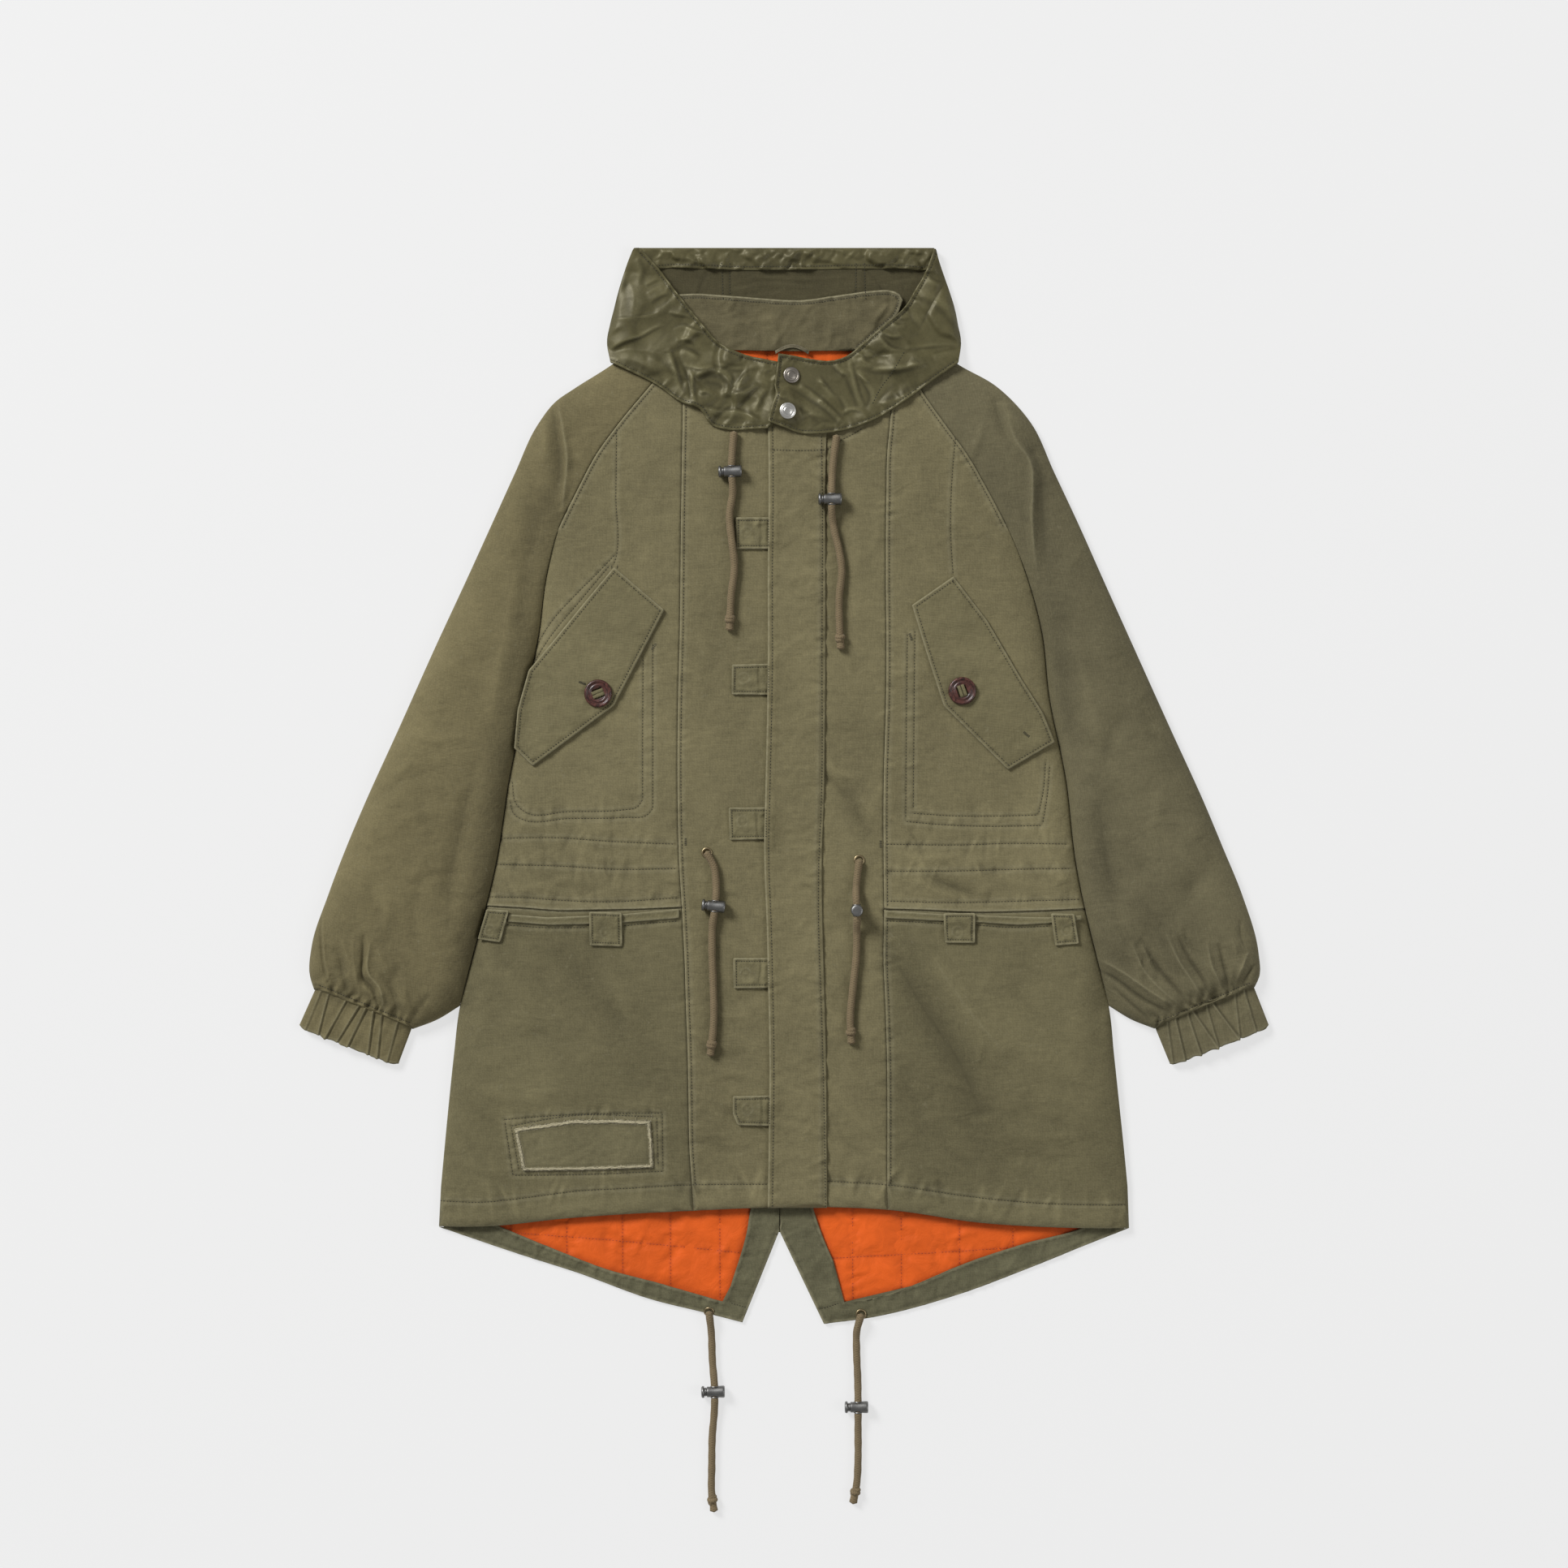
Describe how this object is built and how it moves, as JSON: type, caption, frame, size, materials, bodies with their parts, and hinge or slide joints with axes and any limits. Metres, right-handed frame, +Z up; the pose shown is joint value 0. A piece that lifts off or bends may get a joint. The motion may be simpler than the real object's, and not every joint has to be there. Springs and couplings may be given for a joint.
{
  "type": "fishtail parka",
  "caption": "Fishtail parka laid flat: raglan sleeves with gathered cuffs, snapped hood, fly placket, slanted pocket flaps, quilted lining and knotted drawcords with barrel locks.",
  "frame": {"origin": "on the ground, under the middle of the garment's own box, drawcords left out", "axes": "+X to the viewer's right across the garment, +Y from the tail to the hood, +Z up from the ground it lies on"},
  "size_m": [0.983, 1.2788, 0.0414],
  "materials": {
    "shell_twill": "garment-dyed olive cotton twill, matte, rubbed pale along its seams",
    "hood_cloth": "crumpled coated olive cloth with a soft gloss",
    "collar_twill": "matte olive twill",
    "quilted_lining": "orange lining, quilted in squares, slight sheen",
    "drawcord": "round braided cotton cord, matte",
    "cord_lock_metal": "gunmetal, worn satin",
    "snap_metal": "nickel, satin",
    "eyelet_brass": "antique brass, dull",
    "button_horn": "dark red-brown, low gloss"
  },
  "bodies": {
    "root": {"back": "shell_twill", "back_lining": "quilted_lining", "tail_facing_left": "shell_twill", "tail_facing_right": "shell_twill", "front_centre_left": "shell_twill", "front_centre_right": "shell_twill", "front_side_left": "shell_twill", "front_side_right": "shell_twill", "front_skirt_left": "shell_twill", "front_skirt_right": "shell_twill", "placket": "shell_twill", "sleeve_upper_left": "shell_twill", "sleeve_upper_right": "shell_twill", "sleeve_under_left": "shell_twill", "sleeve_under_right": "shell_twill", "cuff_left": "shell_twill", "cuff_right": "shell_twill", "hood_back": "hood_cloth", "hood_lining": "collar_twill", "hood_facing": "hood_cloth", "hood_side_left": "hood_cloth", "hood_side_right": "hood_cloth", "collar": "collar_twill", "hanger_loop": "collar_twill", "pocket_flap_left": "shell_twill", "pocket_flap_right": "shell_twill", "button_left": "button_horn", "button_right": "button_horn", "placket_tab_1": "shell_twill", "placket_tab_2": "shell_twill", "placket_tab_3": "shell_twill", "placket_tab_4": "shell_twill", "placket_tab_5": "shell_twill", "waist_tab_1": "shell_twill", "waist_tab_2": "shell_twill", "waist_tab_3": "shell_twill", "waist_tab_4": "shell_twill", "welt_left": "shell_twill", "welt_right": "shell_twill", "patch": "shell_twill", "snap_upper": "snap_metal", "snap_lower": "snap_metal", "eyelet_waist_left": "eyelet_brass", "eyelet_waist_right": "eyelet_brass", "eyelet_hem_left": "eyelet_brass", "eyelet_hem_right": "eyelet_brass", "cord_hood_left": "drawcord", "cord_hood_right": "drawcord", "cord_waist_left": "drawcord", "cord_waist_right": "drawcord", "cord_hem_left": "drawcord", "cord_hem_right": "drawcord", "cord_lock_hood_left": "cord_lock_metal", "cord_lock_hood_right": "cord_lock_metal", "cord_lock_waist_left": "cord_lock_metal", "cord_lock_waist_right": "cord_lock_metal", "cord_lock_hem_left": "cord_lock_metal", "cord_lock_hem_right": "cord_lock_metal"}
  },
  "joints": []
}
